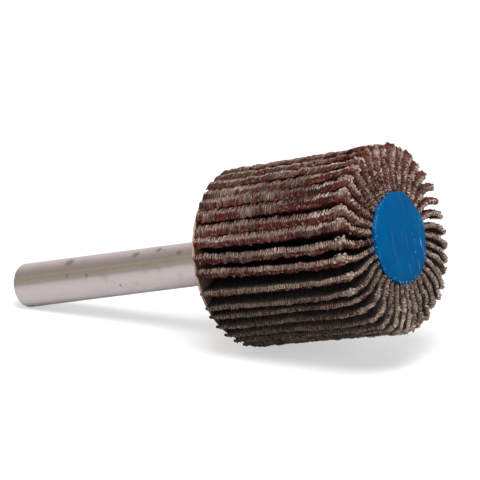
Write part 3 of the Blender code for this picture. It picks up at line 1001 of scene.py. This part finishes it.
def makeFlaps():
    blank = makeFlapBlank()
    for flap in flaps:
        rng = np.random.default_rng(fraySpec["seed"] * 100 + flap["number"])
        flapObject = bendFlap(blank, flap)
        extras = [growComb(flap, rng), hangCrumbs(flap, rng)]
        # large tufts on the corners of the left side, small ones elsewhere and on the fronts
        towards = math.cos(flap["angle"] - math.radians(fraySpec["lintSide"]))
        size = rng.uniform(1.0, 1.6) if towards > 0.5 else rng.uniform(0.4, 0.9)
        extras.append(tuftLint(flap, rng, flap["corner"] * rng.uniform(0.2, 0.9), 1.0, size))
        if rng.random() < 0.35:
            extras.append(tuftLint(flap, rng, rng.uniform(1.0, 12.0), 1.0, 0.35))
        for _ in range(rng.integers(1, 4) if towards < 0.4 else 0):
            extras.append(tuftLint(flap, rng, 0.0, rng.uniform(0.3, 0.95), rng.uniform(0.3, 0.75)))
        joinTo(flapObject, extras)
        setDown(flapObject, f"flap_{flap['number']:02d}", smoothAngle=60)
    bpy.data.objects.remove(blank, do_unlink=True)


hubSpec = {
    "linesPerFlap": 4,
    "domeSteps": 8,
    "domeFlatness": 0.5,
    "creep": 0.28,
    "creepScale": 60.0,
    "rimStart": 0.75,        # share of the radius from which the front is ragged
    # side in degrees, mm and width in degrees of the larger runs and gaps of resin at the rim
    "runs": [(131, 0.45, 5), (155, 0.5, 7), (180, -0.35, 6), (214, 0.25, 8), (262, -0.2, 18),
             (110, -0.12, 10)],
    # side in degrees and mm from the axis of the flats where the mould left the rim straight
    "flats": [(36, 5.82), (346, 5.82)],
    "fringe": 90,            # fibres of lint round the left and lower rim
}


def rimChange(place, distance, toSeat):
    # mm by which the resin's ragged rim departs from the round, fading out towards the axis
    rimStart = hubSpec["rimStart"]
    nearRim = (distance / wheel["hubRadius"] - rimStart) / (1 - rimStart)
    ring = Vector((0.0, place.y, place.z)).normalized()
    lobe = 0.3 + 0.8 * noise.noise(ring * hubSpec["creepScale"])
    change = hubSpec["creep"] * nearRim ** 3 * lobe * (0.3 + 0.7 * toSeat)
    degrees = math.degrees(math.atan2(place.z, place.y)) % 360
    for side, amount, width in hubSpec["runs"]:
        change += amount * nearRim ** 2 * math.exp(-((degrees - side) / width) ** 2)
    for side, reach in hubSpec["flats"]:
        towards = math.cos(math.radians(degrees - side))
        if towards > 0:
            change = min(change, reach / towards * (rimStart + (1 - rimStart) * nearRim) - distance)
    return change


def makeHub():
    radius = wheel["hubRadius"]
    domeTop = hubRim + wheel["domeHeight"]
    hub = addBar("resinHub", radius, flapBack, hubRim, flapSpec["count"] * hubSpec["linesPerFlap"])
    selectWhere(hub, "FACE", lambda face: face.normal.x > 0.9)
    lastRadius, lastX = radius, hubRim
    for step in range(1, hubSpec["domeSteps"]):
        turn = step / hubSpec["domeSteps"] * math.pi / 2
        ringRadius = radius * math.cos(turn) ** hubSpec["domeFlatness"]
        ringX = hubRim + wheel["domeHeight"] * math.sin(turn)
        bpy.ops.mesh.inset(thickness=lastRadius - ringRadius)
        bpy.ops.transform.translate(value=(ringX - lastX, 0, 0))
        lastRadius, lastX = ringRadius, ringX
    bpy.ops.mesh.poke()
    selectWhere(hub, "VERT", lambda vert: radiusOf(vert.co) < 0.01 and vert.co.x > hubRim)
    bpy.ops.transform.translate(value=(domeTop - lastX, 0, 0))
    selectWhere(hub, "FACE", lambda face: face.normal.x < -0.9)
    bpy.ops.mesh.inset(thickness=radius - boreRadius)
    bpy.ops.mesh.extrude_region_move(TRANSFORM_OT_translate={"value": (boreEnd - flapBack, 0, 0)})
    cutAcross(flapFront)
    bpy.ops.object.mode_set(mode="OBJECT")
    for vert in hub.data.vertices:
        distance = radiusOf(vert.co)
        turn = (math.atan2(vert.co.z, vert.co.y) - flaps[0]["angle"]) / pitchAngle
        toSeat = abs(turn - round(turn)) * 2
        if vert.co.x < flapFront + 0.01 and distance > radius - 0.01:
            change = -wheel["seatDepth"] * (1 - toSeat)
        elif distance > hubSpec["rimStart"] * radius:
            change = rimChange(vert.co, distance, toSeat)
        else:
            continue
        vert.co.yz = vert.co.yz * (1 + change / distance)
    hub.data.materials.append(finishes["resin"])
    turnNormalsOut(hub)
    joinTo(hub, [growFringe()])
    setDown(hub, "resin_hub")


def growFringe():
    # lint that the resin caught round its rim, mostly on the left and below
    rng = np.random.default_rng(7)
    count = hubSpec["fringe"]
    sides = np.append(rng.normal(150, 22, count // 2), rng.normal(265, 28, count - count // 2))
    turn = np.radians(sides)
    radius = wheel["hubRadius"] + rng.normal(0.0, 0.26, count)
    spoke = triples(0.0, np.cos(turn), np.sin(turn))
    aside = triples(0.0, -np.sin(turn), np.cos(turn))
    base = spoke * radius[:, None] + np.array([hubRim + 0.12, 0, 0])
    length = rng.uniform(0.10, 0.30, (count, 1))
    sideways = rng.normal(0, 0.8, (count, 1))
    steps = [(-1.0, 0.0, 0.05), (0.0, 0.3, 0.12), (0.9, 1.0, 0.05)]
    points = np.stack([base + spoke * (length * out) + aside * (length * sideways * over)
                       + np.array([lift, 0, 0]) for out, over, lift in steps], axis=1)
    radii = rng.uniform(0.012, 0.030, (count, 1)) * np.array([0.7, 1.0, 0.6])
    fringe = stringUp("fringe", points, radii, np.zeros(count), np.zeros(count))
    fringe.data.materials[0] = finishes["soakedLint"]
    return fringe


for makePiece, pieceName in ((makeShank, "shank"), (makeDisc, "fibre disc"), (makeHub, "hub"),
                             (makeFlaps, "flaps")):
    makePiece()
    print(pieceName, "made")


stageSpec = {
    "floorSize": 3.0,
    "floorColour": "#bcbcbc",
    "floorLift": 0.5,        # seen by the camera only, so the floor looks near white
    "worldLight": 0.42,
    "cameraAzimuth": 33.0936,
    "cameraElevation": 14.1080,
    "cameraPlace": (0.42896, -0.65201, 0.20962),
    "lens": 450.0,
}


def makeFloor():
    deselectAll()
    bpy.ops.mesh.primitive_plane_add(size=stageSpec["floorSize"])
    floor = bpy.context.object
    floor.name = "floor"
    material = newMaterial("paleFloor")
    lightPath = addNode(material, "LightPath")
    lift = addNode(material, "Math", {
        0: lightPath.outputs["Is Camera Ray"], 1: stageSpec["floorLift"]}, operation="MULTIPLY")
    floor.data.materials.append(finishSurface(
        material, stageSpec["floorColour"], 0.9, 0.1,
        more={"Emission Color": "#ffffff", "Emission Strength": lift}))


def makeWorld():
    # white where it is seen or mirrored, and weaker as a light
    world = bpy.data.worlds.new("studio")
    bpy.context.scene.world = world
    world.use_nodes = True
    lightPath = addNode(world, "LightPath")
    seen = lightPath.outputs["Is Camera Ray"]
    for name in ("Is Glossy Ray", "Is Transmission Ray"):
        seen = addNode(world, "Math", {0: seen, 1: lightPath.outputs[name]}, operation="MAXIMUM")
    strength = addNode(world, "MapRange", {
        "Value": seen, "To Min": stageSpec["worldLight"], "To Max": 1.0})
    background = world.node_tree.nodes["Background"]
    setInputs(world, background, {"Color": "#ffffff", "Strength": strength})


lampSpec = {
    "keySoftbox": {"place": (0.25, -0.30, 0.70), "size": 0.45, "power": 8.0},
    "frontSoftbox": {"place": (0.80, -0.25, 0.25), "size": 0.35, "power": 3.0},
}
lampTarget = Vector((0, 0, 0.012))


def makeLamps():
    for name, lamp in lampSpec.items():
        data = bpy.data.lights.new(name, "AREA")
        data.shape = "SQUARE"
        data.size = lamp["size"]
        data.energy = lamp["power"]
        lampObject = linkObject(name, data)
        lampObject.location = lamp["place"]
        aim = lampTarget - Vector(lamp["place"])
        lampObject.rotation_euler = aim.to_track_quat("-Z", "Y").to_euler()


def makeCamera():
    azimuth = math.radians(stageSpec["cameraAzimuth"])
    elevation = math.radians(stageSpec["cameraElevation"])
    data = bpy.data.cameras.new("camera")
    data.lens = stageSpec["lens"]
    data.sensor_width = 36.0
    data.clip_end = 10.0
    camera = linkObject("camera", data)
    camera.location = stageSpec["cameraPlace"]
    camera.rotation_euler = (math.pi / 2 - elevation, 0.0, azimuth)
    bpy.context.scene.camera = camera


makeFloor()
makeWorld()
makeLamps()
makeCamera()
bpy.context.scene.view_settings.view_transform = "Standard"
print("stage, lamps and camera made")
